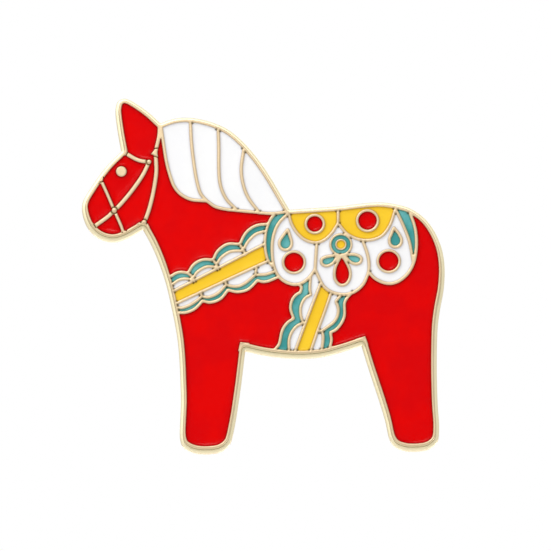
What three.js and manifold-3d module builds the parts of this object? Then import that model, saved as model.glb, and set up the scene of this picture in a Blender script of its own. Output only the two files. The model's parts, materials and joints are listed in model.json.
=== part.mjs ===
// A Dala horse lapel pin: a die-struck plate whose raised lines part the pockets, soft enamel in each
// pocket, and two soldered posts behind it, each with a butterfly clutch (a cup and two sprung wings).
// Millimetres. +X is to the right of a person who looks at the face, +Z is up, and the face looks towards -Y.
// The origin lies on the plate's back, in the middle of the outline.
import * as THREE from "three";
import { mergeVertices } from "three/addons/utils/BufferGeometryUtils.js";
import Module from "manifold-3d";

const wasm = await Module();
wasm.setup();

// Heights above the plate's back, towards the face. The lip starts inside the skirt's thickness, so that the
// two join, and a cutter runs past what it cuts by CUT_CLEAR.
const PLATE_THICKNESS = 1.6;
const POCKET_FLOOR = 1.05;
const SKIRT_TOP = 0.95;
const LIP_ROOT = 0.8;
const ENAMEL_TOP = 1.42;
const ENAMEL_GAP = 0.02;
const CUT_CLEAR = 1;

// The outline's points are drawn a little low, and are stretched to its real height. The skirt adds
// SKIRT_OUTSET to that at the top and at the bottom.
const OUTLINE_HEIGHT = 32.2;
const DRAWN_HEIGHT = 31.75;
const HEIGHT_STRETCH = OUTLINE_HEIGHT / DRAWN_HEIGHT;

// Widths of the raised metal in the plane of the face. The rim's lip is inside the drawn outline, from
// RIM_STEP to RIM_WIDTH, and the low skirt outside it runs on past the drawn outline by SKIRT_OUTSET.
const RIM_WIDTH = 0.42;
const RIM_STEP = 0.18;
const SKIRT_OUTSET = 0.1;
const STRAP_WIDTH = 0.36;
const LINE_WIDTH = 0.29;
const FINE_WIDTH = 0.27;
const EYE_RADIUS = 0.49;
const BEAD_RADIUS = 0.21;

// How finely a curve is cut into straight stretches.
const SAMPLE_STEP = 0.08;
const MAX_TURN = THREE.MathUtils.degToRad(9);
const MAX_STRETCH = 1.8;
const CIRCLE_SIDES = 20;
const BEAD_SIDES = 12;
const CAP_SIDES = 4;
const SPECK_VOLUME = 0.01;

// Posts and clutches, behind the plate. Heights are measured away from the back.
const POSTS = { left: [-2.9, 0.6], right: [9.9, 0.6] };
const WING_TILT = { left: -20, right: 20 };
const POST_LENGTH = 8;
const POST_RADIUS = 0.575;
const POST_GROOVE_RADIUS = 0.46;
const SOLDER_PAD_RADIUS = 1.35;
const SOLDER_PAD_HEIGHT = 0.35;
const BACK_GAP = 0.02;
const CLUTCH_HOME = 1.0;
const CUP_RADIUS = 5.5;
const CUP_SHEET = 0.35;
const CUP_RIM_HEIGHT = 1.25;
const CUP_HOLE_RADIUS = 0.78;
const CUP_SIDES = 32;
const POST_SIDES = 16;
const NIB_CIRCLE_RADIUS = 3.5;
const NIB_RADIUS = 0.42;
const NIB_DEPTH = 0.28;
const NIB_SIDES = 10;
const BRIDGE = { length: 3.6, width: 4.4, top: 2.45, wall: 0.4 };
const WING_SHEET = 0.3;
const WING_NOTCH_RADIUS = 0.63;
const WING_REACH = 5.6;
const WING_BLANK_WIDTH = 6;
const WING_BLANK_HEIGHT = 8;

const MATERIALS = {
  gold: new THREE.MeshStandardMaterial({ color: "#e6cf9f", roughness: 0.28, metalness: 1 }),
  brass: new THREE.MeshStandardMaterial({ color: "#d8b878", roughness: 0.34, metalness: 1 }),
  red: new THREE.MeshStandardMaterial({ color: "#e30202", roughness: 0.22, metalness: 0 }),
  white: new THREE.MeshStandardMaterial({ color: "#fbfbfb", roughness: 0.22, metalness: 0 }),
  yellow: new THREE.MeshStandardMaterial({ color: "#fccb2c", roughness: 0.25, metalness: 0 }),
  teal: new THREE.MeshStandardMaterial({ color: "#3f9e97", roughness: 0.25, metalness: 0 }),
};

// The outline of the plate, span by span. Each span is smooth, and ends where the next starts, at a corner.
const OUTLINE_SPANS = [
  // back of the ear, from the mane to the tip and down its front
  [[-9.15, 13.76], [-9.97, 14.56], [-10.95, 15.26], [-11.85, 15.84], [-12.42, 16.01], [-12.88, 15.78],
    [-13.08, 15.1], [-13.02, 14.1], [-12.85, 13], [-12.65, 12], [-12.54, 11.32]],
  // forehead, nose and chin
  [[-12.54, 11.32], [-13.12, 10.76], [-13.72, 10.16], [-14.68, 8.95], [-15.28, 8.05], [-15.83, 7.2],
    [-16.1, 6.4], [-15.98, 5.5], [-15.63, 4.65], [-15.05, 3.97], [-14.2, 3.49], [-13.3, 3.36], [-12.4, 3.6],
    [-11.6, 3.99], [-10.68, 4.55]],
  // throat, chest and the front of the foreleg, its hoof and its back edge
  [[-10.68, 4.55], [-9.84, 3], [-9.2, 1.5], [-8.67, 0], [-8.2, -1.9], [-7.79, -3.8], [-7.43, -6.1],
    [-7.25, -9.1], [-7.19, -11.8], [-7.29, -14.25], [-7.05, -15.1], [-6.2, -15.6], [-5, -15.74],
    [-3.72, -15.54], [-2.99, -14.94], [-2.59, -13.5], [-2.23, -11.4], [-1.91, -9.1], [-1.6, -6.44]],
  // belly
  [[-1.6, -6.44], [0.15, -6.83], [1.9, -7.06], [3.7, -7.13], [5.5, -6.97], [7.26, -6.51], [9.02, -5.93]],
  // hind leg, hoof, rump and back
  [[9.02, -5.93], [9.71, -8.2], [10.47, -10.5], [11.13, -12.6], [11.47, -14.2], [11.93, -15.05],
    [12.75, -15.42], [13.8, -15.5], [14.95, -15.32], [15.68, -14.72], [15.84, -13.7], [15.71, -11.3],
    [15.64, -8.3], [15.67, -5.6], [15.81, -3.4], [16.14, -1.8], [16.32, -0.2], [16.33, 1], [16.1, 2.5],
    [15.52, 3.95], [14.62, 5.2], [13.35, 6.1], [12.1, 6.48], [10.6, 6.67], [8.8, 6.54], [6.9, 6.3],
    [4.8, 6.16], [2.42, 6]],
  // mane
  [[2.42, 6], [1.87, 6.93], [1, 8.45], [0, 10], [-1, 11.3], [-2.2, 12.55], [-3.3, 13.35], [-4.6, 13.9],
    [-5.8, 14.2], [-7, 14.3], [-8.1, 14.14], [-9.15, 13.76]],
];

// Centre lines of the raised lines, as [width, points]. Each runs on into its neighbours, so that they join.
const HEAD_LINES = [
  [STRAP_WIDTH, [[-12.8, 11.35], [-12.3, 11.05], [-11.6, 10.65], [-10.9, 10.38], [-10.15, 10.3]]],
  [STRAP_WIDTH, [[-10.15, 10.3], [-10.45, 9.6], [-11.1, 8.55], [-11.9, 7.45], [-12.7, 6.5], [-13.3, 5.93]]],
  [LINE_WIDTH, [[-14.7, 9.1], [-14.3, 8.35], [-13.85, 7.2], [-13.3, 5.93]]],
  [LINE_WIDTH, [[-13.3, 5.93], [-12.95, 5.1], [-12.6, 4.3], [-12.45, 3.75]]],
  [STRAP_WIDTH, [[-13.3, 5.93], [-13.7, 5.5], [-14.3, 5.05], [-15.25, 4.35]]],
  [STRAP_WIDTH, [[-9.2, 13.55], [-9.22, 12.9], [-9.35, 12.2], [-9.55, 11.5], [-9.56, 10.7], [-9.5, 9.8],
    [-9.55, 9], [-9.7, 8], [-9.92, 7], [-10.17, 6], [-10.45, 5.2], [-10.75, 4.6]]],
];
const MANE_LINES = [
  [LINE_WIDTH, [[-9.1, 13.6], [-8.99, 12.9], [-8.87, 12], [-8.75, 11], [-8.54, 10], [-8.27, 9], [-7.91, 8.1],
    [-7.44, 7.49], [-6.8, 7.07], [-6.2, 6.87], [-5.6, 6.82], [-4.95, 6.78]]],
  [LINE_WIDTH, [[-4.95, 6.78], [-4.3, 6.31], [-3.7, 6.11], [-3, 5.99], [-2.3, 5.93], [-0.8, 5.78],
    [0.9, 5.64], [1.6, 5.7], [2.5, 5.84]]],
  [LINE_WIDTH, [[-6.45, 14.1], [-6.4, 12.8], [-6.3, 11.5], [-6.15, 10.3], [-6, 9.3], [-5.8, 8.3], [-5.5, 7.4],
    [-4.95, 6.78]]],
  [LINE_WIDTH, [[-3.95, 13.4], [-3.9, 12], [-3.88, 10.8], [-3.88, 9.5], [-3.8, 8.5], [-3.55, 7.6],
    [-3.1, 6.8], [-2.6, 6.3], [-2.2, 5.9]]],
  [LINE_WIDTH, [[-1.6, 11.65], [-1.8, 10.5], [-1.86, 9.3], [-1.7, 8.3], [-1.4, 7.4], [-1, 6.7], [-0.6, 6.2],
    [-0.2, 5.7]]],
];
const BREAST_STRAP_LINES = [
  // the yellow band's two edges
  [FINE_WIDTH, [[-8.15, -1.43], [0.26, 2.92]]],
  [FINE_WIDTH, [[-7.95, -2.57], [0.54, 1.37]]],
  // outer and inner line of each scallop above it, with the short line between two scallops
  [FINE_WIDTH, [[-8.4, -0.15], [-7.8, 0.24], [-7.3, 0.37], [-6.65, 0.27]]],
  [FINE_WIDTH, [[-6.65, 0.27], [-6.3, 0.87], [-5.8, 1.3], [-5.2, 1.5], [-4.4, 1.45]]],
  [FINE_WIDTH, [[-4.4, 1.45], [-4.1, 2.1], [-3.6, 2.62], [-3, 2.91], [-2, 2.87]]],
  [FINE_WIDTH, [[-2, 2.87], [-1.7, 3.53], [-1.3, 4.06], [-0.8, 4.43], [-0.3, 4.62], [0.55, 4.68]]],
  [FINE_WIDTH, [[-8.25, -0.85], [-7.55, -0.38], [-7, -0.23], [-6.15, -0.3]]],
  [FINE_WIDTH, [[-6.25, -0.2], [-5.9, 0.3], [-5.4, 0.67], [-4.9, 0.86], [-4, 0.8]]],
  [FINE_WIDTH, [[-4.12, 1.05], [-3.75, 1.6], [-3.3, 1.98], [-2.8, 2.23], [-1.65, 2.3]]],
  [FINE_WIDTH, [[-1.7, 2.38], [-1.35, 3], [-0.95, 3.47], [-0.5, 3.82], [0.38, 4.08]]],
  [FINE_WIDTH, [[-6.65, 0.27], [-6.35, 0.02], [-6.1, -0.45]]],
  [FINE_WIDTH, [[-4.4, 1.45], [-4.15, 1.15], [-3.95, 0.65]]],
  [FINE_WIDTH, [[-2, 2.87], [-1.75, 2.5], [-1.5, 1.95]]],
  // the same below it
  [FINE_WIDTH, [[-7.85, -2.84], [-7.2, -2.85], [-6.6, -2.65], [-6, -2.3], [-5.42, -1.82]]],
  [FINE_WIDTH, [[-5.42, -1.82], [-4.9, -1.9], [-4.3, -1.72], [-3.8, -1.4], [-3.22, -0.78]]],
  [FINE_WIDTH, [[-3.22, -0.78], [-2.6, -0.93], [-2, -0.87], [-1.4, -0.55], [-0.6, 0.12]]],
  [FINE_WIDTH, [[-0.6, 0.12], [-0.1, 0.12], [0.4, 0.17], [1.2, 0.45]]],
  [FINE_WIDTH, [[-7.8, -3.22], [-7.2, -3.3], [-6.6, -3.2], [-6, -2.9], [-5.35, -2.22]]],
  [FINE_WIDTH, [[-5.35, -2.22], [-4.8, -2.36], [-4.2, -2.26], [-3.65, -1.96], [-3.06, -1.24]]],
  [FINE_WIDTH, [[-3.06, -1.24], [-2.4, -1.4], [-1.8, -1.37], [-1.2, -1.15], [-0.42, -0.38]]],
  [FINE_WIDTH, [[-0.42, -0.38], [0.1, -0.5], [0.6, -0.43], [1.5, -0.04]]],
  [FINE_WIDTH, [[-5.52, -1.4], [-5.42, -1.82]]],
  [FINE_WIDTH, [[-3.32, -0.4], [-3.22, -0.78]]],
  [FINE_WIDTH, [[-0.48, 0.9], [-0.6, 0.12]]],
];
const SADDLE_LINES = [
  [FINE_WIDTH, [[2.35, 5.95], [2.55, 5], [3, 4.1], [3.6, 3.45], [4.2, 3.13], [4.95, 3.02], [5.65, 3.3],
    [6.25, 3.85], [6.85, 4.75]]],
  [FINE_WIDTH, [[6.85, 6.4], [6.85, 4.75]]],
  [FINE_WIDTH, [[6.85, 4.75], [7.5, 3.95], [8.2, 3.5], [9.1, 3.25], [10, 3.3], [10.8, 3.65], [11.35, 4.3],
    [11.8, 5.3], [12.05, 6.2]]],
  // left teal crescent's outer line, then the left petal
  [FINE_WIDTH, [[1.2, 5.66], [0.85, 5.25], [0.52, 4.6], [0.33, 3.9], [0.26, 3.2], [0.3, 2.4], [0.55, 1.4],
    [0.95, 0.9]]],
  [LINE_WIDTH, [[2.5, 5.8], [1.9, 5.25], [1.4, 4.6], [1.1, 3.9], [0.93, 3.1], [0.9, 2.3], [0.95, 1.5],
    [1.1, 0.8], [1.35, 0.2], [1.75, -0.27], [2.3, -0.6], [2.9, -0.75], [3.5, -0.66], [4, -0.35], [4.4, 0.05],
    [4.78, 0.6]]],
  [LINE_WIDTH, [[4.93, 3], [4.86, 2], [4.78, 0.6]]],
  // middle petal
  [LINE_WIDTH, [[4.78, 0.6], [5, 0.1], [5.25, -0.45], [5.62, -0.98], [6.15, -1.38], [6.8, -1.6], [7.5, -1.65],
    [8.15, -1.48], [8.7, -1.15], [9.12, -0.7], [9.4, -0.15], [9.6, 0.4]]],
  [LINE_WIDTH, [[9.05, 3.25], [9.35, 2.5], [9.55, 1.7], [9.64, 1], [9.6, 0.4]]],
  // right petal with the right teal crescent
  [LINE_WIDTH, [[9.6, 0.4], [9.95, -0.02], [10.4, -0.35], [11, -0.6], [11.6, -0.66], [12.2, -0.5],
    [12.7, -0.18], [13.1, 0.22], [13.45, 0.75], [13.7, 1.4], [13.85, 2.2], [13.9, 3.1], [13.83, 4],
    [13.65, 4.8], [13.25, 5.9]]],
  [FINE_WIDTH, [[12, 6.1], [12.35, 5.25], [12.75, 4.5], [13.08, 3.7], [13.32, 2.9], [13.48, 2.1],
    [13.62, 1.25]]],
];
const GIRTH_LINES = [
  [FINE_WIDTH, [[5.3, -0.6], [4.55, -2.5], [3.8, -4.5], [2.95, -6.85]]],
  [FINE_WIDTH, [[6.25, -1.4], [5.9, -2.5], [5.2, -4.4], [4.35, -6.85]]],
  // left side: inner line in three bows, then the outer line
  [FINE_WIDTH, [[4.36, -0.02], [4.3, -0.7], [4.3, -1.2], [4.38, -1.66]]],
  [FINE_WIDTH, [[4.38, -1.66], [3.97, -1.9], [3.66, -2.3], [3.48, -2.8], [3.46, -3.3], [3.55, -3.8],
    [3.7, -4.2]]],
  [FINE_WIDTH, [[3.7, -4.2], [3.2, -4.45], [2.8, -4.85], [2.52, -5.4], [2.42, -5.9], [2.45, -6.85]]],
  [FINE_WIDTH, [[3.65, -4.2], [3.86, -4.3]]],
  [FINE_WIDTH, [[3.35, -0.74], [3.55, -0.98], [3.45, -1.45]]],
  [FINE_WIDTH, [[3.45, -1.45], [3.08, -1.67], [2.78, -2.02], [2.6, -2.5], [2.58, -3], [2.85, -3.82]]],
  [FINE_WIDTH, [[2.85, -3.82], [2.38, -4.12], [2, -4.55], [1.76, -5.1], [1.66, -5.6], [1.55, -6.1],
    [1.05, -6.75]]],
  // right side
  [FINE_WIDTH, [[7.16, -1.63], [6.88, -1.95], [6.65, -2.3]]],
  [FINE_WIDTH, [[6.65, -2.3], [6.82, -2.7], [6.87, -3.2], [6.75, -3.7], [6.45, -4.15], [6, -4.5],
    [5.4, -4.93]]],
  [FINE_WIDTH, [[5.4, -4.93], [5.5, -5.4], [5.48, -5.9], [5.35, -6.85]]],
  [FINE_WIDTH, [[5, -4.96], [5.4, -4.93]]],
  [FINE_WIDTH, [[8.1, -1.45], [7.65, -1.95], [7.42, -2.45], [7.44, -3], [7.42, -3.5], [7.27, -4], [7, -4.45],
    [6.65, -4.82], [6.15, -5.08]]],
  [FINE_WIDTH, [[6.15, -5.08], [6.23, -5.5], [6.23, -5.9], [6, -6.8]]],
];
const RAISED_LINES = [...HEAD_LINES, ...MANE_LINES, ...BREAST_STRAP_LINES, ...SADDLE_LINES, ...GIRTH_LINES];

// Raised rings round the dots, as [x, z, radius of the centre line, width].
const RINGS = [
  [4.75, 4.7, 0.82, 0.24],
  [9.5, 5, 0.94, 0.24],
  [2.87, 1.25, 0.98, 0.24],
  [11.4, 1.35, 0.99, 0.24],
  [7.1, 2.85, 0.95, 0.2],
  [7.1, 2.85, 0.45, 0.14],
];

// Raised outlines of the drops and leaves, from the tip round and back to it, as [width, points].
const DROPS = [
  [FINE_WIDTH, [[2.32, 4.2], [1.85, 3.6], [1.56, 3.05], [1.66, 2.58], [2.1, 2.36], [2.54, 2.56], [2.68, 3],
    [2.52, 3.6], [2.32, 4.2]]],
  [FINE_WIDTH, [[11.88, 4.35], [11.62, 3.8], [11.45, 3.2], [11.6, 2.78], [12, 2.62], [12.42, 2.8],
    [12.56, 3.25], [12.32, 3.8], [11.88, 4.35]]],
  [FINE_WIDTH, [[7.15, 1.93], [6.8, 1.3], [6.53, 0.5], [6.55, -0.2], [6.83, -0.66], [7.22, -0.82],
    [7.62, -0.66], [7.91, -0.15], [7.92, 0.5], [7.6, 1.25], [7.15, 1.93]]],
  [FINE_WIDTH, [[6.72, 1.92], [6.2, 1.82], [5.72, 1.73], [5.36, 1.5], [5.4, 1.1], [5.76, 0.92], [6.25, 1.08],
    [6.6, 1.45], [6.72, 1.92]]],
  [FINE_WIDTH, [[7.48, 1.95], [8, 1.98], [8.55, 1.9], [8.93, 1.65], [8.88, 1.27], [8.52, 1.1], [8.05, 1.22],
    [7.68, 1.55], [7.48, 1.95]]],
];

// Round beads where straps meet, and the little wedge at the top of the throat strap.
const BEADS = [[-13.3, 5.93], [-10.15, 10.3], [-10.62, 4.85], [-14.5, 8.75]];
const THROAT_WEDGE = [[-9.6, 11.5], [-10.05, 10.98], [-9.3, 10.76]];
const EYE = [-12.66, 9.43];

// One point inside each pocket, with the enamel's node name and colour.
const POCKETS = [
  ["enamel_ear_and_jaw", "red", [-11.2, 13]],
  ["enamel_forehead", "red", [-12, 8.6]],
  ["enamel_nose", "red", [-14.8, 6.8]],
  ["enamel_muzzle", "red", [-13.7, 4.7]],
  ["enamel_neck", "red", [-6, 3.5]],
  ["enamel_foreleg", "red", [-4.5, -8]],
  ["enamel_hindleg", "red", [13, -5]],
  ["enamel_mane_1", "white", [-7.5, 11]],
  ["enamel_mane_2", "white", [-5, 10]],
  ["enamel_mane_3", "white", [-2.9, 9]],
  ["enamel_mane_4", "white", [-0.7, 8]],
  ["enamel_saddle_left", "yellow", [3.4, 5.2]],
  ["enamel_saddle_right", "yellow", [10.9, 5.4]],
  ["enamel_petal_left", "white", [3.8, 2.6]],
  ["enamel_petal_middle", "white", [5.5, 2.3]],
  ["enamel_petal_right", "white", [10.4, 2.7]],
  ["enamel_crescent_left", "teal", [0.62, 3.3]],
  ["enamel_crescent_right", "teal", [13.4, 3.9]],
  ["enamel_dot_saddle_left", "red", [4.75, 4.7]],
  ["enamel_dot_saddle_right", "red", [9.5, 5]],
  ["enamel_dot_petal_left", "red", [2.87, 1.25]],
  ["enamel_dot_petal_right", "red", [11.4, 1.35]],
  ["enamel_ring", "teal", [7.77, 2.85]],
  ["enamel_ring_centre", "yellow", [7.1, 2.85]],
  ["enamel_red_drop", "red", [7.2, 0.3]],
  ["enamel_leaf_left", "teal", [5.8, 1.35]],
  ["enamel_leaf_right", "teal", [8.5, 1.5]],
  ["enamel_drop_left", "teal", [2.12, 3]],
  ["enamel_drop_right", "teal", [12, 3.2]],
  ["enamel_breast_band", "yellow", [-4, 0]],
  ["enamel_breast_top_white_1", "white", [-7.2, -0.62]],
  ["enamel_breast_top_white_2", "white", [-5.2, 0.43]],
  ["enamel_breast_top_white_3", "white", [-3, 1.65]],
  ["enamel_breast_top_white_4", "white", [-0.7, 3.1]],
  ["enamel_breast_top_teal_1", "teal", [-7.2, 0.06]],
  ["enamel_breast_top_teal_2", "teal", [-5.4, 1.05]],
  ["enamel_breast_top_teal_3", "teal", [-3, 2.53]],
  ["enamel_breast_top_teal_4", "teal", [-0.7, 4.08]],
  ["enamel_breast_bottom_white_1", "white", [-6.6, -2.28]],
  ["enamel_breast_bottom_white_2", "white", [-4.5, -1.4]],
  ["enamel_breast_bottom_white_3", "white", [-2, -0.35]],
  ["enamel_breast_bottom_white_4", "white", [0.3, 0.7]],
  ["enamel_breast_bottom_teal", "teal", [-6.6, -2.93]],
  ["enamel_girth_band", "yellow", [4.8, -3.4]],
  ["enamel_girth_left_white_upper", "white", [4, -3]],
  ["enamel_girth_left_white_lower", "white", [2.95, -5.6]],
  ["enamel_girth_left_teal", "teal", [3.03, -2.8]],
  ["enamel_girth_right_white_upper", "white", [6.25, -3.2]],
  ["enamel_girth_right_white_lower", "white", [5.1, -5.7]],
  ["enamel_girth_right_teal", "teal", [7.15, -3.3]],
];

const up = (z) => z * HEIGHT_STRETCH;
const placed = (points) => points.map(([x, z]) => new THREE.Vector2(x, up(z)));

// A smooth curve through the points, cut where it has turned by MAX_TURN or run on for MAX_STRETCH.
function smooth(points) {
  const inSpace = points.map((p) => new THREE.Vector3(p.x, p.y, 0));
  const curve = new THREE.CatmullRomCurve3(inSpace, false, "centripetal");
  const fine = curve.getSpacedPoints(Math.max(2, Math.ceil(curve.getLength() / SAMPLE_STEP)));
  const kept = [fine[0]];
  const heading = (a, b) => Math.atan2(b.y - a.y, b.x - a.x);
  let turned = 0;
  let run = 0;
  for (let i = 1; i < fine.length - 1; i++) {
    let turn = heading(fine[i], fine[i + 1]) - heading(fine[i - 1], fine[i]);
    turn = Math.atan2(Math.sin(turn), Math.cos(turn));
    turned += turn;
    run += fine[i].distanceTo(fine[i - 1]);
    if (Math.abs(turned) < MAX_TURN && run < MAX_STRETCH) continue;
    kept.push(fine[i]);
    turned = 0;
    run = 0;
  }
  kept.push(fine[fine.length - 1]);
  return kept.map((p) => new THREE.Vector2(p.x, p.y));
}

const direction = (from, to) => to.clone().sub(from).normalize();

// A line of the given width along open points, as one outline, with round or square ends.
function stroke(points, width, roundEnds = true) {
  const last = points.length - 1;
  const left = [];
  const right = [];
  points.forEach((p, i) => {
    const into = direction(points[Math.max(i - 1, 0)], points[Math.max(i, 1)]);
    const out = direction(points[Math.min(i, last - 1)], points[Math.min(i + 1, last)]);
    const along = into.add(out).normalize();
    const across = new THREE.Vector2(-along.y, along.x);
    const mitre = width / 2 / Math.max(along.dot(out), 0.5);
    left.push(p.clone().addScaledVector(across, mitre));
    right.push(p.clone().addScaledVector(across, -mitre));
  });
  if (!roundEnds) return [...right, ...left.reverse()];
  const cap = (centre, from) => Array.from({ length: CAP_SIDES - 1 }, (_, i) =>
    from.clone().rotateAround(centre, ((i + 1) / CAP_SIDES) * Math.PI));
  return [...right, ...cap(points[last], right[last]), ...left.toReversed(), ...cap(points[0], left[0])];
}

function circle(x, y, radius, sides = CIRCLE_SIDES) {
  return Array.from({ length: sides }, (_, i) => {
    const angle = (i / sides) * 2 * Math.PI;
    return new THREE.Vector2(x + radius * Math.cos(angle), y + radius * Math.sin(angle));
  });
}

// A closed geometry as a solid that can be joined and cut.
function solid(geometry) {
  const bare = new THREE.BufferGeometry();
  const source = geometry.index ? geometry.toNonIndexed() : geometry;
  bare.setAttribute("position", source.getAttribute("position"));
  const merged = mergeVertices(bare, 1e-5);
  return new wasm.Manifold(new wasm.Mesh({
    numProp: 3,
    vertProperties: merged.getAttribute("position").array,
    triVerts: new Uint32Array(merged.index.array),
  }));
}

function geometryOf(manifold) {
  const mesh = manifold.getMesh();
  const geometry = new THREE.BufferGeometry();
  const corners = new Float32Array(mesh.numVert * 3);
  for (let i = 0; i < mesh.numVert; i++)
    for (let k = 0; k < 3; k++) corners[i * 3 + k] = mesh.vertProperties[i * mesh.numProp + k];
  geometry.setAttribute("position", new THREE.BufferAttribute(corners, 3));
  geometry.setIndex(new THREE.BufferAttribute(new Uint32Array(mesh.triVerts), 1));
  geometry.computeVertexNormals();
  return geometry;
}

// An outline pushed straight out from one height to another.
function prism(outline, from, to) {
  const shape = new THREE.Shape(outline);
  const geometry = new THREE.ExtrudeGeometry(shape, { depth: to - from, bevelEnabled: false });
  geometry.translate(0, 0, from);
  return solid(geometry);
}

const joined = (solids) => wasm.Manifold.union(solids);

// All raised metal inside the rim, a little wider than drawn where the enamel keeps its gap.
function raisedLines(from, to, extra) {
  const parts = RAISED_LINES.map(([width, points]) =>
    prism(stroke(smooth(placed(points)), width + 2 * extra), from, to));
  for (const [x, z, radius, width] of RINGS) {
    const outer = prism(circle(x, up(z), radius + width / 2 + extra), from, to);
    const hole = circle(x, up(z), radius - width / 2 - extra);
    const inner = prism(hole, from - CUT_CLEAR, to + CUT_CLEAR);
    parts.push(outer.subtract(inner));
  }
  for (const [width, points] of DROPS) {
    const round = smooth(placed(points));
    const middle = Math.floor(round.length / 2);
    parts.push(prism(stroke(round.slice(0, middle + 2), width + 2 * extra), from, to));
    parts.push(prism(stroke(round.slice(middle), width + 2 * extra), from, to));
  }
  for (const [x, z] of BEADS) parts.push(prism(circle(x, up(z), BEAD_RADIUS + extra, BEAD_SIDES), from, to));
  parts.push(prism(circle(EYE[0], up(EYE[1]), EYE_RADIUS + extra), from, to));
  parts.push(prism(placed(THROAT_WEDGE), from, to));
  return joined(parts);
}

// The plate's outline as one list of points.
const outlineSpans = OUTLINE_SPANS.map((span) => smooth(placed(span)));
const outline = outlineSpans.flatMap((span) => span.slice(0, -1));

// Bands along the whole outline, of the given width to each side of it. At a corner the two bands run on
// until their edges meet.
function outlineBands(from, to, width) {
  return joined(outlineSpans.map((span, i) => {
    const before = outlineSpans.at(i - 1);
    const after = outlineSpans[(i + 1) % outlineSpans.length];
    const into = direction(before.at(-2), before.at(-1));
    const start = direction(span[0], span[1]);
    const end = direction(span.at(-2), span.at(-1));
    const out = direction(after[0], after[1]);
    const overrun = (a, b) => width * Math.tan(Math.acos(a.dot(b)) / 2);
    const first = span[0].clone().addScaledVector(start, -overrun(into, start));
    const last = span.at(-1).clone().addScaledVector(end, overrun(end, out));
    return prism(stroke([first, ...span.slice(1, -1), last], 2 * width, false), from, to);
  }));
}

// The outline's solid with its edge moved inwards or outwards by the given width.
const insetPlate = (from, to, width) =>
  prism(outline, from, to).subtract(outlineBands(from - CUT_CLEAR, to + CUT_CLEAR, width));
const outsetPlate = (from, to, width) => prism(outline, from, to).add(outlineBands(from, to, width));

// The separate bodies of a cut solid, without the specks that a cut can leave where edges just touch.
const bodies = (manifold) => manifold.decompose().filter((part) => part.volume() > SPECK_VOLUME);

// The pockets as separate solids: the inside of the rim less every raised line.
function pocketSolids(from, to, extra) {
  const inside = insetPlate(from, to, RIM_WIDTH + extra);
  return bodies(inside.subtract(raisedLines(from - CUT_CLEAR, to + CUT_CLEAR, extra)));
}

// True where the solid's top face covers the point.
function covers(manifold, point, top) {
  const mesh = manifold.getMesh();
  const corner = (i) => mesh.vertProperties.subarray(i * mesh.numProp, i * mesh.numProp + 3);
  const side = (a, b) => (b[0] - a[0]) * (point.y - a[1]) - (b[1] - a[1]) * (point.x - a[0]);
  for (let i = 0; i < mesh.triVerts.length; i += 3) {
    const [a, b, c] = [0, 1, 2].map((k) => corner(mesh.triVerts[i + k]));
    if (Math.min(a[2], b[2], c[2]) < top - 1e-4) continue;
    if (side(a, b) >= 0 && side(b, c) >= 0 && side(c, a) >= 0) return true;
  }
  return false;
}

function pocketAt(solids, [x, z], top, name) {
  const found = solids.find((s) => covers(s, new THREE.Vector2(x, up(z)), top));
  if (!found) throw new Error(`no pocket holds the point of ${name}`);
  return found;
}

const pin = new THREE.Group();
const add = (group, name, geometry, material) => {
  const mesh = new THREE.Mesh(geometry, material.clone());
  mesh.name = name;
  group.add(mesh);
  return mesh;
};

// The face is built flat, x to the right, y up and z towards the viewer, and then stood upright.
const face = new THREE.Group();
face.rotation.x = Math.PI / 2;
pin.add(face);

function buildPlate() {
  const lip = insetPlate(LIP_ROOT, PLATE_THICKNESS, RIM_STEP);
  const skirt = outsetPlate(0, SKIRT_TOP, SKIRT_OUTSET);
  const cutTop = PLATE_THICKNESS + CUT_CLEAR;
  const cutters = pocketSolids(POCKET_FLOOR, cutTop, 0);
  const pockets = POCKETS.map(([name, , point]) => pocketAt(cutters, point, cutTop, name));
  const [plate] = bodies(joined([skirt, lip]).subtract(joined(pockets)));
  add(face, "struck_plate", geometryOf(plate), MATERIALS.gold);
}

function buildEnamel() {
  const fills = pocketSolids(POCKET_FLOOR + ENAMEL_GAP, ENAMEL_TOP, ENAMEL_GAP);
  for (const [name, colour, point] of POCKETS)
    add(face, name, geometryOf(pocketAt(fills, point, ENAMEL_TOP, name)), MATERIALS[colour]);
}

// A lathe profile of [radius, height] pairs, turned round an axis that points away from the plate's back.
function turned(profile, sides) {
  const points = profile.map(([radius, height]) => new THREE.Vector2(radius, height));
  if (profile[0][0] > 0) points.push(points[0].clone());
  const geometry = new THREE.LatheGeometry(points, sides);
  geometry.rotateX(Math.PI / 2);
  return geometry;
}

function buildPost(side) {
  const [x, z] = POSTS[side];
  const tip = POST_LENGTH;
  const profile = [
    [0, BACK_GAP], [SOLDER_PAD_RADIUS, BACK_GAP], [SOLDER_PAD_RADIUS, SOLDER_PAD_HEIGHT - 0.1],
    [SOLDER_PAD_RADIUS - 0.25, SOLDER_PAD_HEIGHT], [POST_RADIUS, SOLDER_PAD_HEIGHT + 0.15],
    [POST_RADIUS, tip - 3], [POST_GROOVE_RADIUS, tip - 2.85], [POST_GROOVE_RADIUS, tip - 2.35],
    [POST_RADIUS, tip - 2.2], [POST_RADIUS, tip - 1.5], [0.1, tip - 0.05], [0, tip],
  ];
  const geometry = turned(profile, POST_SIDES);
  const mesh = add(face, `${side}_post`, geometry, MATERIALS.brass);
  mesh.rotation.x = Math.PI;
  mesh.position.set(x, up(z), 0);
}

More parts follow.
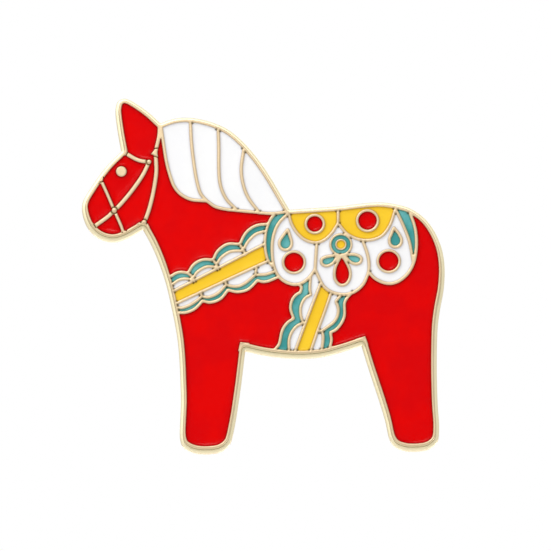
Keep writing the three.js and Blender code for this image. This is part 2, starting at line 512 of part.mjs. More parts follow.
// The cup: a dished disc with a rolled rim, four nibs towards the plate and a bridge over the wings' channel.
function cupSolid() {
  const dish = solid(turned([
    [CUP_HOLE_RADIUS, 0], [4.5, 0], [5.1, 0.15], [5.43, 0.48], [CUP_RADIUS, 0.8], [5.36, 1.08],
    [5.05, CUP_RIM_HEIGHT], [4.75, 1.13], [4.58, 0.85], [4.42, 0.48], [4.2, CUP_SHEET],
    [CUP_HOLE_RADIUS, CUP_SHEET],
  ], CUP_SIDES));
  const nib = turned([
    [0, -NIB_DEPTH], [0.2, 0.02 - NIB_DEPTH], [NIB_RADIUS, 0.05], [NIB_RADIUS, 0.2], [0, 0.2],
  ], NIB_SIDES);
  const nibs = [45, 135, 225, 315].map((degrees) => {
    const angle = THREE.MathUtils.degToRad(degrees);
    const at = [NIB_CIRCLE_RADIUS * Math.cos(angle), NIB_CIRCLE_RADIUS * Math.sin(angle), 0];
    return solid(nib.clone().translate(...at));
  });
  const { length, width, top, wall } = BRIDGE;
  const block = new THREE.BoxGeometry(length, width, top - 0.1);
  block.translate(0, 0, (top + 0.1) / 2);
  const channel = new THREE.BoxGeometry(length + 2, width - 2 * wall, top - wall - CUP_SHEET);
  channel.translate(0, 0, (top - wall + CUP_SHEET) / 2);
  const hole = prism(circle(0, 0, CUP_HOLE_RADIUS), -CUT_CLEAR, top + CUT_CLEAR);
  return joined([dish, ...nibs, solid(block)]).subtract(solid(channel)).subtract(hole);
}

// One wing: a bent strip, drawn from the side, whose inner end is the jaw and whose outer end curls away.
function wingSolid() {
  const centre = [[0.16, 1.06], [1, 1.14], [1.9, 1.5], [2.8, 1.68], [3.6, 1.98], [4.4, 2.6], [5, 3.4],
    [5.3, 4.1], [WING_REACH - 0.15, 4.75]];
  const side = stroke(smooth(centre.map(([u, h]) => new THREE.Vector2(u, h))), WING_SHEET);
  const bend = { depth: WING_BLANK_WIDTH, bevelEnabled: false };
  const strip = new THREE.ExtrudeGeometry(new THREE.Shape(side), bend);
  strip.translate(0, 0, -WING_BLANK_WIDTH / 2);
  strip.rotateX(Math.PI / 2);
  const half = [[0.16, 1.5], [2.1, 1.5], [2.7, 1.85], [3.6, 2.2], [4.5, 2.3], [5.2, 1.95], [WING_REACH, 1.1]]
    .map(([u, v]) => new THREE.Vector2(u, v));
  const plan = [...half.map((p) => new THREE.Vector2(p.x, -p.y)), ...half.reverse()];
  const notch = prism(circle(0, 0, WING_NOTCH_RADIUS), 0, WING_BLANK_HEIGHT);
  return solid(strip).intersect(prism(plan, 0, WING_BLANK_HEIGHT)).subtract(notch);
}

function buildClutch(side) {
  const [x, z] = POSTS[side];
  const clutch = new THREE.Group();
  clutch.position.set(x, up(z), -CLUTCH_HOME);
  clutch.rotation.set(Math.PI, 0, THREE.MathUtils.degToRad(WING_TILT[side]));
  clutch.rotation.order = "ZXY";
  face.add(clutch);
  add(clutch, `${side}_clutch_cup`, geometryOf(cupSolid()), MATERIALS.brass);
  for (const [which, turn] of [["outer", 0], ["inner", Math.PI]]) {
    const facing = side === "left" ? turn + Math.PI : turn;
    const wing = add(clutch, `${side}_clutch_${which}_wing`, geometryOf(wingSolid()), MATERIALS.brass);
    wing.rotation.z = facing;
  }
}

buildPlate();
buildEnamel();
for (const side of ["left", "right"]) {
  buildPost(side);
  buildClutch(side);
}

export default pin;
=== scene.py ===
"""The looks of a Dala horse lapel pin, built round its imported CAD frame.

The plate and the enamel are made anew from the outlines of their CAD nodes: the raised lines get rounded
shoulders, beads and creases, and the enamel climbs its walls as a poured resin does. Behind, the posts and
the cups of the butterfly clutches are turned, and the rest of the clutches is bent from sheet. Shapes are
worked out in millimetres in the plane of the face, with x to the right, z up and a height towards the viewer.
Meshes are made in metres.
"""
import json
import math

import bpy
import numpy as np
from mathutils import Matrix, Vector, kdtree
from mathutils.geometry import delaunay_2d_cdt


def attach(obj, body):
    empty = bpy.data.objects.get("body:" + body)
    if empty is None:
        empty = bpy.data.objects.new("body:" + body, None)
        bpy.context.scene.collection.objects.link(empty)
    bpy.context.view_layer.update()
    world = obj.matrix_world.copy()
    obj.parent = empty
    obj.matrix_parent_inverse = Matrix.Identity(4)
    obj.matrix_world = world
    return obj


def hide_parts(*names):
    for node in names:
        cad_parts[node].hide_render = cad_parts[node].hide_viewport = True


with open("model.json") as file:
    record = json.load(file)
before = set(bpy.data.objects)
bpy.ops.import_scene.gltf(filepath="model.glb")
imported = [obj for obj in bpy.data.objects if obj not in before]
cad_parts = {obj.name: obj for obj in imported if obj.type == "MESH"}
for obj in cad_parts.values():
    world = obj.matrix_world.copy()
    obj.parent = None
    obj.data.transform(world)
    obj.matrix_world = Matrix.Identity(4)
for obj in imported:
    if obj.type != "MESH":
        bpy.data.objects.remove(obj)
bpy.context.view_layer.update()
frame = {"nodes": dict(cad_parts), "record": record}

MM = 0.001


def reach(name, axis):
    """The least and greatest coordinate of a CAD node along an axis of the frame."""
    values = [round(vertex.co[axis] / MM, 4) for vertex in frame["nodes"][name].data.vertices]
    return min(values), max(values)


# Heights above the plate's back. The enamel fills are all the same height.
ENAMEL_GAP = 0.02
SHOULDER = 0.95
SKIRT_EDGE = 0.7
TOP = -reach("struck_plate", 1)[0]
ENAMEL_TOP, ENAMEL_BOTTOM = (-y for y in reach("enamel_forehead", 1))
POCKET_FLOOR = round(ENAMEL_BOTTOM - ENAMEL_GAP, 4)
WALL_WAIST = ENAMEL_TOP - 0.1

# How finely outlines are cut. Points closer than LEAST_GAP count as one, and TINY keeps divisors off zero.
SAMPLE = 0.06
CURVE_STEPS = 10
SOFTENINGS = 2
CORNER_TURN = math.radians(24)
MITRE_LIMIT = 0.6
LEAST_GAP = 0.02
TINY = 1e-9

# How points fill a region: how near they may come to its border and to each other, and how its grid lies.
ROW_MARGIN = 0.97
CLOSENESS = 0.8
SEED_CLOSENESS = 0.4
GRID_PITCH = 0.866
GRID_MARGIN = 0.4
SAME_POINT = 1e-7
ON_BORDER = 1e-6

# The struck metal. The rim's lip stands in from the skirt's edge by LIP_WALL, and its flat by LIP_START.
EDGE_ROUND = 0.058
LIP_WALL = 0.28
LIP_START = 0.40
METAL_ROWS = [0.03, 0.07, 0.115, 0.165, 0.22, 0.28, 0.34, 0.4, 0.46]
METAL_SPACING = 0.055
# How strongly painted shade darkens the crease at the lip's foot, the pockets' walls and their floors, and
# how far up the lip's wall the crease's shade reaches.
LIP_SHADE, WALL_SHADE, FLOOR_SHADE = 0.75, 0.3, 0.5
LIP_SHADE_TOP = 1.2
NEAR = 0.01

# Places on the face are those of the drawing, which the CAD's outline stretches upwards by this much.
STRETCH = 32.2 / 31.75


def stretched(places):
    """Places on the drawing, as (x, z, ...), moved to where they are on the CAD."""
    return [(x, z * STRETCH, *rest) for x, z, *rest in places]


# Beads where straps meet, each in a creased ring, and knobs at the legs' inner corners: (x, z, radius).
BEADS = stretched([(-13.3, 5.93, 0.23), (-10.15, 10.3, 0.21), (-10.62, 4.85, 0.22), (-14.5, 8.75, 0.22)])
KNOBS = stretched([(-1.86, -5.98, 0.17), (9.22, -5.46, 0.17)])
BEAD_RISE = 0.05
BEAD_CREASE = 0.12
BEAD_CREASE_DEPTH = 0.18
CREASE_WIDTH = 0.07
CREASE_DEPTH = 0.15
CREASE_POWER = 0.7
# Nicks where one strap ends against another, as (x, z, heading in degrees, half length).
CREASES = stretched([
    (-12.18, 10.97, 62, 0.22), (-9.58, 11.5, 10, 0.2), (-9.68, 10.8, -18, 0.36), (-15.03, 4.5, 126, 0.19),
    (-12.17, 4.0, 112, 0.2), (-12.55, 3.8, 100, 0.16), (-14.78, 8.42, 145, 0.14), (-11.1, 4.5, 105, 0.16)])

# The face of the enamel sinks in mid pocket, waves a little and climbs the walls, at first steeply.
# Each is (how much, the distance from the wall over which it fades or grows).
SAG = (0.05, 0.7)
WAVE = (0.006, 0.5)
STEEP_CLIMB = (0.05, 0.05)
CLIMB = (0.05, 0.17)
DEEP_CLIMB = (0.12, 0.25)
DEEP_MENISCUS = {"enamel_forehead", "enamel_muzzle"}
ENAMEL_ROWS = [0.03, 0.07, 0.12, 0.19, 0.3, 0.5]
ENAMEL_SPACING = 0.06
ENAMEL_GRID = 0.4
# How wide the painted shade along the walls of a fill is.
RED_EDGE = 0.11
OTHER_EDGE = 0.07

# Pits where the enamel doesn't fill a sharp corner. The red and the broadest white fill have none that show.
PIT_TURN = math.radians(38)
PIT_RADIUS = 0.1
PIT_DEPTH = 0.14
# The metal dips at the same corners, where painted shade darkens it.
METAL_PIT_RADIUS = 0.09
METAL_PIT_DEPTH = 0.06
METAL_PIT_SHADE = 0.9
# The dark painted into the enamel's pits as their shade.
PIT_SHADE_COLOUR = (0.1, 0.07, 0.03)

# The gloss of the enamel, and how strongly each material's grain tilts its surface.
ENAMEL_ROUGHNESS = 0.14
ENAMEL_SPECULAR = 0.055
ENAMEL_BUMP = 0.12
ENAMEL_GRAIN = 0.004
METAL_BUMP = 0.35

# Scales of the materials' noise, and the parts of its range that they use.
WEAR_SCALE = 420
POLISH_SCALE = 5200
SWIRL_SCALE = 330
GLOSS_SCALE = 2600
WEAR_RANGE = (0.35, 0.65)
SWIRL_RANGE = (0.4, 0.62)
FINE_RANGE = (0.3, 0.7)
WORN = 0.93

# Radiance of the surroundings and of the lamps.
AMBIENT = 0.88
KEY = 1.65
FRONT = 21.0
UNDER = 4.0
BACK = 0.9

# The camera's view. Its width and its middle on the face are in millimetres, and the distances in metres.
VIEW_WIDTH = 49.59
VIEW_MIDDLE = (1.215, 0.046)
VIEW_TILT = math.radians(-10)
VIEW_DISTANCE = 0.2
FLOOR_HEIGHT = -0.07


# ---------------------------------------------------------------- outlines

def loops_at(name, height):
    """The borders of a CAD node's flat faces at a height, as loops with the material on their left."""
    mesh = frame["nodes"][name].data
    edges = set()
    for face in mesh.polygons:
        corners = [mesh.vertices[i].co / MM for i in face.vertices]
        if any(abs(c.y + height) > 1e-3 for c in corners):
            continue
        keys = [(round(c.x, 4), round(c.z, 4)) for c in corners]
        edges.update(zip(keys, keys[1:] + keys[:1]))
    follow = {}
    for a, b in edges:
        if (b, a) not in edges:
            follow.setdefault(a, []).append(b)
    loops = []
    while follow:
        start = min(follow)
        loop, at = [], start
        while at in follow:
            loop.append(at)
            after = follow[at].pop()
            if not follow[at]:
                del follow[at]
            at = after
        loops.append(np.array(loop))
    return loops


def turns(points):
    """How far a closed outline turns at each point."""
    into = points - np.roll(points, 1, 0)
    out = np.roll(points, -1, 0) - points
    angle = np.arctan2(out[:, 1], out[:, 0]) - np.arctan2(into[:, 1], into[:, 0])
    return (angle + math.pi) % (2 * math.pi) - math.pi


def curve_through(points, closed):
    """A centripetal Catmull-Rom curve, cut finely."""
    if closed:
        p = np.vstack([points[-1], points, points[0], points[1]])
    else:
        p = np.vstack([2 * points[0] - points[1], points, 2 * points[-1] - points[-2]])
    p0, p1, p2, p3 = p[:-3], p[1:-2], p[2:-1], p[3:]

    def knot(a, b):
        return np.maximum(np.linalg.norm(b - a, axis=1), TINY)[:, None] ** 0.5

    t1 = knot(p0, p1)
    t2 = t1 + knot(p1, p2)
    t3 = t2 + knot(p2, p3)
    rows = []
    for u in np.linspace(0, 1, CURVE_STEPS, endpoint=False):
        t = t1 + (t2 - t1) * u
        a1 = (t1 - t) / t1 * p0 + t / t1 * p1
        a2 = (t2 - t) / (t2 - t1) * p1 + (t - t1) / (t2 - t1) * p2
        a3 = (t3 - t) / (t3 - t2) * p2 + (t - t2) / (t3 - t2) * p3
        b1 = (t2 - t) / t2 * a1 + t / t2 * a2
        b2 = (t3 - t) / (t3 - t1) * a2 + (t - t1) / (t3 - t1) * a3
        rows.append((t2 - t) / (t2 - t1) * b1 + (t - t1) / (t2 - t1) * b2)
    fine = np.stack(rows, 1).reshape(-1, 2)
    return fine if closed else np.vstack([fine, points[-1]])


def even_steps(points, step):
    """Points along an open line, in even steps of about the given length."""
    length = np.concatenate([[0], np.cumsum(np.linalg.norm(np.diff(points, axis=0), axis=1))])
    count = max(1, round(length[-1] / step))
    at = np.linspace(0, length[-1], count + 1)
    return np.stack([np.interp(at, length, points[:, k]) for k in range(2)], 1)


def without_repeats(loop):
    """A closed outline without the points that lie on the one before them."""
    gap = np.linalg.norm(loop - np.roll(loop, 1, 0), axis=1)
    return loop[gap > LEAST_GAP]


def refine(loop):
    """A closed outline cut in even steps, smooth between its corners and a little rounded at them."""
    loop = without_repeats(loop)
    corners = np.flatnonzero(np.abs(turns(loop)) > CORNER_TURN)
    if len(corners) == 0:
        fine = curve_through(loop, True)
        points = even_steps(np.vstack([fine, fine[:1]]), SAMPLE)[:-1]
    else:
        loop = np.roll(loop, -corners[0], 0)
        corners = [*(corners - corners[0]), len(loop)]
        loop = np.vstack([loop, loop[:1]])
        spans = []
        for a, b in zip(corners, corners[1:]):
            span = loop[a:b + 1]
            fine = curve_through(span, False) if len(span) > 2 else span
            spans.append(even_steps(fine, SAMPLE)[:-1])
        points = np.vstack(spans)
    for _ in range(SOFTENINGS):
        points = points / 2 + (np.roll(points, 1, 0) + np.roll(points, -1, 0)) / 4
    return points


def signed_area(points):
    """The area inside a closed outline, negative where it runs clockwise."""
    after = np.roll(points, -1, 0)
    return (points[:, 0] * after[:, 1] - points[:, 1] * after[:, 0]).sum() / 2


def unit(vectors):
    """The vectors at a length of 1."""
    return vectors / np.maximum(np.linalg.norm(vectors, axis=1), TINY)[:, None]


def left_of(along):
    """Vectors turned a quarter to their left."""
    return np.stack([-along[:, 1], along[:, 0]], 1)


def left_normals(points):
    """The unit normals on the left of a closed outline."""
    return left_of(unit(np.roll(points, -1, 0) - np.roll(points, 1, 0)))


def moved_in(points, distance):
    """The outline moved to its left, mitred where it turns."""
    into = unit(points - np.roll(points, 1, 0))
    out = unit(np.roll(points, -1, 0) - points)
    along = unit(into + out)
    mitre = 1 / np.maximum((along * out).sum(1), MITRE_LIMIT)
    return points + left_of(along) * (distance * mitre)[:, None]


def tree_of(points):
    """Points of a plane, sorted so that the nearest is quickly found."""
    tree = kdtree.KDTree(len(points))
    for i, (x, y) in enumerate(points):
        tree.insert((x, y, 0), i)
    tree.balance()
    return tree


def distances(tree, points):
    """How far each point is from the nearest in a tree."""
    return np.array([tree.find((x, y, 0))[2] for x, y in points])


def pit_corners(loops):
    """The sharp corners of a pocket, which poured enamel doesn't quite fill."""
    found = []
    for loop in loops:
        loop = without_repeats(loop)
        found += list(loop[turns(loop) > PIT_TURN])
    return np.array(found).reshape(-1, 2)


def nearness(points, centres, radius):
    """1 at the nearest of some centres, falling smoothly to 0 past the radius."""
    near = np.zeros(len(points))
    for centre in centres:
        r2 = ((points - centre) ** 2).sum(1)
        near = np.maximum(near, np.exp(-r2 / radius**2))
    return near


class Region:
    """The region on the left of some loops, as rows of points along its border and triangles between."""

    def __init__(self, loops, rows, spacing, seeds=(), grid=None):
        self.border = np.vstack(loops)
        self.normals = np.vstack([left_normals(loop) for loop in loops])
        self.tree = tree_of(self.border)
        self.spacing = spacing
        self.cells = {}
        self.inner = []
        for point in seeds:
            self._take(point, LEAST_GAP, SEED_CLOSENESS)
        for row in rows:
            for point, normal in zip(self.border, self.normals):
                self._take(point + normal * row, row * ROW_MARGIN)
        if grid:
            low, high = self.border.min(0), self.border.max(0)
            for j, y in enumerate(np.arange(low[1], high[1], grid * GRID_PITCH)):
                for x in np.arange(low[0] + (j % 2) * grid / 2, high[0], grid):
                    self._take(np.array([x, y]), rows[-1] + grid * GRID_MARGIN)
        self._triangles(loops)

    def _take(self, point, least, closeness=CLOSENESS):
        """Keeps a point if it is inside, far enough from the border and from the points kept before it."""
        _, index, far = self.tree.find((point[0], point[1], 0))
        if far < least or (point - self.border[index]) @ self.normals[index] <= 0:
            return
        size = self.spacing
        cx, cy = int(point[0] // size), int(point[1] // size)
        limit = (size * closeness) ** 2
        for i in (cx - 1, cx, cx + 1):
            for j in (cy - 1, cy, cy + 1):
                for x, y in self.cells.get((i, j), ()):
                    if (x - point[0]) ** 2 + (y - point[1]) ** 2 < limit:
                        return
        self.cells.setdefault((cx, cy), []).append((point[0], point[1]))
        self.inner.append((point[0], point[1]))

    def _triangles(self, loops):
        """Triangles inside, and those in the region's holes, by how many loops lie round each."""
        points = np.vstack([self.border, np.array(self.inner).reshape(-1, 2)])
        faces, start = [], 0
        for loop in loops:
            face = range(start, start + len(loop))
            faces.append(list(face if signed_area(loop) > 0 else reversed(face)))
            start += len(loop)
        edges = [(f[i - 1], f[i]) for f in faces for i in range(len(f))]
        made = delaunay_2d_cdt([Vector(p) for p in points], edges, faces, 1, SAME_POINT, True)
        verts, _, tris, sources, _, around = made
        self.points = np.array([[v[0], v[1]] for v in verts])
        self.source = [s[0] if s else -1 for s in sources]
        self.inside = [t for t, f in zip(tris, around) if len(f) % 2 == 1]
        self.holes = [t for t, f in zip(tris, around) if len(f) % 2 == 0 and f]
        self.depth = distances(self.tree, self.points)


# ---------------------------------------------------------------- meshes

def mesh_object(name, verts, faces, material, attributes=()):
    """A smooth object from vertices as (x, z, height) in millimetres, with values for its points."""
    v = np.asarray(verts, float)
    mesh = bpy.data.meshes.new(name)
    mesh.from_pydata((np.stack([v[:, 0], -v[:, 2], v[:, 1]], 1) * MM).tolist(), [], [list(f) for f in faces])
    for key, values in dict(attributes).items():
        layer = mesh.attributes.new(key, "FLOAT", "POINT")
        layer.data.foreach_set("value", np.asarray(values, np.float32))
    mesh.validate()
    mesh.polygons.foreach_set("use_smooth", [True] * len(mesh.polygons))
    mesh.materials.append(material)
    piece = bpy.data.objects.new(name, mesh)
    bpy.context.scene.collection.objects.link(piece)
    return piece


def shoulder_drop(depth, radius):
    """How far a rounded edge lies below the flat, at a distance from the border."""
    inside = np.clip(radius - depth, 0, radius)
    return radius - np.sqrt(np.maximum(radius**2 - inside**2, 0))


# ---------------------------------------------------------------- materials

def material(name, roughness=0.3, metallic=0.0):
    """A new material, its node tree and its shader."""
    made = bpy.data.materials.new(name)
    made.use_nodes = True
    shader = made.node_tree.nodes["Principled BSDF"]
    shader.inputs["Roughness"].default_value = roughness
    shader.inputs["Metallic"].default_value = metallic
    return made, made.node_tree, shader


def noise(tree, scale, detail):
    """Noise that stays with the object."""
    place = tree.nodes.new("ShaderNodeTexCoord")
    node = tree.nodes.new("ShaderNodeTexNoise")
    node.inputs["Scale"].default_value = scale
    node.inputs["Detail"].default_value = detail
    tree.links.new(place.outputs["Object"], node.inputs["Vector"])
    return node.outputs["Fac"]


def spread(tree, value, low, high, start, end):
    """A value that goes from low to high while another goes from start to end."""
    node = tree.nodes.new("ShaderNodeMapRange")
    node.inputs["From Min"].default_value = start
    node.inputs["From Max"].default_value = end
    node.inputs["To Min"].default_value = low
    node.inputs["To Max"].default_value = high
    tree.links.new(value, node.inputs["Value"])
    return node.outputs["Result"]


def mixed(tree, factor, a, b):
    """A colour between a and b, each a colour or another node's output."""
    node = tree.nodes.new("ShaderNodeMix")
    node.data_type = "RGBA"
    tree.links.new(factor, node.inputs["Factor"])
    for socket, colour in ((node.inputs[6], a), (node.inputs[7], b)):
        if isinstance(colour, tuple):
            socket.default_value = (*colour, 1)
        else:
            tree.links.new(colour, socket)
    return node.outputs[2]


def attribute(tree, name):
    """A value that the mesh carries at its points."""
    node = tree.nodes.new("ShaderNodeAttribute")
    node.attribute_name = name
    return node.outputs["Fac"]


def bump(tree, shader, value, strength, distance):
    """Tilts the shader's normal as if a value were a height."""
    node = tree.nodes.new("ShaderNodeBump")
    node.inputs["Strength"].default_value = strength
    node.inputs["Distance"].default_value = distance
    tree.links.new(value, node.inputs["Height"])
    tree.links.new(node.outputs["Normal"], shader.inputs["Normal"])


def plated(name, light, dark, pale, roughness, grain):
    """Plated metal: paler with painted light where the mesh marks it, darker with painted shade in its
    creases and pits, and unevenly polished.
    """
    made, tree, shader = material(name, metallic=1.0)
    wear = noise(tree, WEAR_SCALE, 4)
    base = mixed(tree, spread(tree, wear, 0, 1, *WEAR_RANGE), light, tuple(c * WORN for c in light))
    # Painted light: the pale colour where the mesh marks the skirt as brightly lit.
    base = mixed(tree, attribute(tree, "painted_light"), base, pale)
    # Painted shade: the dark colour where the mesh marks creases, pits and pocket walls.
    colour = mixed(tree, attribute(tree, "painted_shade"), base, dark)
    tree.links.new(colour, shader.inputs["Base Color"])
    fine = noise(tree, POLISH_SCALE, 3)
    uneven = spread(tree, fine, roughness - 0.06, roughness + 0.1, *FINE_RANGE)
    tree.links.new(uneven, shader.inputs["Roughness"])
    bump(tree, shader, fine, METAL_BUMP, grain * MM)
    return made


def enamel(name, light, middle, wall_shade):
    """Soft enamel: darker along its walls with painted shade, with a faint swirl and a glossy face."""
    made, tree, shader = material(name, ENAMEL_ROUGHNESS)
    swirl = noise(tree, SWIRL_SCALE, 3)
    base = mixed(tree, spread(tree, swirl, 0, 1, *SWIRL_RANGE), middle, light)
    # Painted shade: the darker colour along the walls of the fill.
    colour = mixed(tree, attribute(tree, "rim"), base, wall_shade)
    # Painted shade in the pits.
    colour = mixed(tree, attribute(tree, "pit"), colour, PIT_SHADE_COLOUR)
    tree.links.new(colour, shader.inputs["Base Color"])
    shader.inputs["Specular IOR Level"].default_value = ENAMEL_SPECULAR
    fine = noise(tree, GLOSS_SCALE, 2)
    uneven = spread(tree, fine, ENAMEL_ROUGHNESS - 0.04, ENAMEL_ROUGHNESS + 0.06, *FINE_RANGE)
    tree.links.new(uneven, shader.inputs["Roughness"])
    bump(tree, shader, fine, ENAMEL_BUMP, ENAMEL_GRAIN * MM)
    return made


# In each plated finish, dark is the colour of painted shade and pale that of painted light; in each enamel,
# the last colour is that of painted shade along the walls.
MATERIALS = {
    "gold": plated("gold_plating", light=(0.77, 0.605, 0.385), dark=(0.2, 0.15, 0.06), pale=(1.0, 0.9, 0.62),
                   roughness=0.45, grain=0.002),
    "gold_back": plated("gold_plating_blasted", light=(0.72, 0.55, 0.31), dark=(0.3, 0.2, 0.08),
                        pale=(0.8, 0.64, 0.4), roughness=0.5, grain=0.02),
    "brass": plated("fastener_brass", light=(0.9, 0.72, 0.4), dark=(0.2, 0.13, 0.05), pale=(0.95, 0.8, 0.5),
                    roughness=0.22, grain=0.0015),
    "enamel_red": enamel("enamel_red", light=(0.77, 0.0, 0.0), middle=(0.705, 0.0, 0.001),
                         wall_shade=(0.24, 0.0, 0.0)),
    "enamel_white": enamel("enamel_white", light=(0.95, 0.95, 0.95), middle=(0.93, 0.93, 0.94),
                           wall_shade=(0.66, 0.64, 0.68)),
    "enamel_yellow": enamel("enamel_yellow", light=(0.98, 0.64, 0.035), middle=(0.95, 0.6, 0.03),
                            wall_shade=(0.62, 0.36, 0.03)),
    "enamel_teal": enamel("enamel_teal", light=(0.19, 0.55, 0.55), middle=(0.055, 0.33, 0.33),
                          wall_shade=(0.07, 0.25, 0.19)),
}


# ---------------------------------------------------------------- the enamel and the plate

subparts = {row["node"]: row["material_slot"] for row in frame["record"]["subparts"]}
enamel_names = [name for name in subparts if name.startswith("enamel_")]


def pocket_loops(name):
    """The pocket's outlines on its own walls, each with the enamel on its left."""
    return [moved_in(refine(loop), -ENAMEL_GAP) for loop in loops_at(name, ENAMEL_TOP)]


pockets = {name: pocket_loops(name) for name in enamel_names}
unpitted = {name for name in enamel_names if subparts[name] == "enamel_red"} | {"enamel_mane_1"}
pits = {name: pit_corners([] if name in unpitted else loops_at(name, ENAMEL_TOP)) for name in enamel_names}
all_pits = np.vstack(list(pits.values()))


def enamel_height(name, points, depth):
    """The height of a fill's face at some points, by their distance from its wall."""
    def fading(shape):
        return shape[0] * np.exp(-depth / shape[1])

    def growing(shape):
        return shape[0] * (1 - np.exp(-depth / shape[1]))

    x, z = points.T
    wave = np.sin(1.9 * x + 0.7 * z) + np.sin(1.3 * z - 0.9 * x + 1)
    climb = DEEP_CLIMB if name in DEEP_MENISCUS else CLIMB
    return ENAMEL_TOP - growing(SAG) + wave * growing(WAVE) + fading(STEEP_CLIMB) + fading(climb)


def build_enamel(name):
    """A fill of enamel that climbs the walls of its pocket and sinks a little in the middle."""
    loops = pockets[name]
    region = Region(loops, ENAMEL_ROWS, ENAMEL_SPACING, grid=ENAMEL_GRID)
    pit = nearness(region.points, pits[name], PIT_RADIUS)
    height = enamel_height(name, region.points, region.depth) - PIT_DEPTH * pit
    count = len(region.points)
    top = np.column_stack([region.points, height])
    bottom = np.column_stack([region.points, np.full(count, ENAMEL_BOTTOM)])
    index = {s: i for i, s in enumerate(region.source)}
    faces = list(region.inside) + [[count + i for i in reversed(t)] for t in region.inside]
    start = 0
    for loop in loops:
        ring = [index[start + i] for i in range(len(loop))]
        start += len(loop)
        for a, b in zip(ring, ring[1:] + ring[:1]):
            faces.append([a, count + a, count + b, b])
    # Painted shade, fading from the walls into the fill.
    edge = RED_EDGE if subparts[name] == "enamel_red" else OTHER_EDGE
    rim = np.concatenate([np.exp(-region.depth / edge), np.ones(count)])
    piece = mesh_object(name + "_fill", np.vstack([top, bottom]), faces, MATERIALS[subparts[name]],
                        attributes={"rim": rim, "pit": np.concatenate([pit, pit])})
    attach(piece, "badge")
    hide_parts(name)


def rim_profile():
    """(distance in from the outline, height), from the back up the edge and over the skirt to the lip."""
    skirt = [(0.10, 0.0), (0.045, 0.012), (0.012, 0.045), (0, 0.1), (0, 0.3), (0, 0.55), (0, 0.8),
             (0.014, 0.855), (0.045, 0.9), (0.09, 0.922), (0.15, 0.937), (0.21, SHOULDER)]
    lip = [(-0.02, SHOULDER), (-0.006, 0.955), (0, 0.98), (0.002, 1.15), (0.006, 1.4), (0.014, 1.5),
           (0.032, 1.56), (0.06, 1.59), (0.09, TOP)]
    return skirt + [(LIP_WALL + x, height) for x, height in lip] + [(LIP_START, TOP)]


def bead_points():
    """Rings of points that give each bead and the crease round it their shape."""
    made = []
    for x, z, radius in BEADS + KNOBS:
        made.append((x, z))
        for r in (radius * 0.5, radius - 0.05, radius - 0.015, radius + 0.02, radius + BEAD_CREASE / 2,
                  radius + BEAD_CREASE, radius + BEAD_CREASE + 0.03):
            count = max(8, round(2 * math.pi * r / 0.055))
            made += [(x + r * math.cos(a), z + r * math.sin(a))
                     for a in np.linspace(0, 2 * math.pi, count, endpoint=False)]
    for x, z, heading, half in CREASES:
        c, s = math.cos(math.radians(heading)), math.sin(math.radians(heading))
        made += [(x + c * t - s * w, z + s * t + c * w) for t in np.arange(-half, half + 0.01, 0.045)
                 for w in (0, -0.035, 0.035, -0.07, 0.07)]
    return [np.array(p) for p in made]


def metal_height(points, depth):
    """The height of the raised metal, and how much painted shade darkens it in its creases and pits."""
    height = TOP - shoulder_drop(depth, EDGE_ROUND)
    painted_shade = np.zeros(len(points))
    for x, z, radius in BEADS + KNOBS:
        r = np.hypot(points[:, 0] - x, points[:, 1] - z)
        height += np.where(r < radius, BEAD_RISE * (1 - (r / radius) ** 2), 0)
        if (x, z, radius) in KNOBS:
            continue
        crease = np.clip(1 - np.abs(r - radius - BEAD_CREASE / 2) / (BEAD_CREASE / 2 + 0.01), 0, 1)
        height -= BEAD_CREASE_DEPTH * crease**CREASE_POWER
        # Painted shade in the crease round the bead.
        painted_shade = np.maximum(painted_shade, crease)
    for x, z, heading, half in CREASES:
        along = np.array([math.cos(math.radians(heading)), math.sin(math.radians(heading))])
        off = points - (x, z)
        t = np.clip(off @ along, -half, half)
        crease = np.clip(1 - np.linalg.norm(off - t[:, None] * along, axis=1) / CREASE_WIDTH, 0, 1)
        height -= CREASE_DEPTH * crease**CREASE_POWER
        # Painted shade in the nick.
        painted_shade = np.maximum(painted_shade, crease)
    # The metal dips at the enamel's sharp corners, and painted shade darkens it there.
    pit = nearness(points, all_pits, METAL_PIT_RADIUS)
    return height - METAL_PIT_DEPTH * pit, np.maximum(painted_shade, METAL_PIT_SHADE * pit)


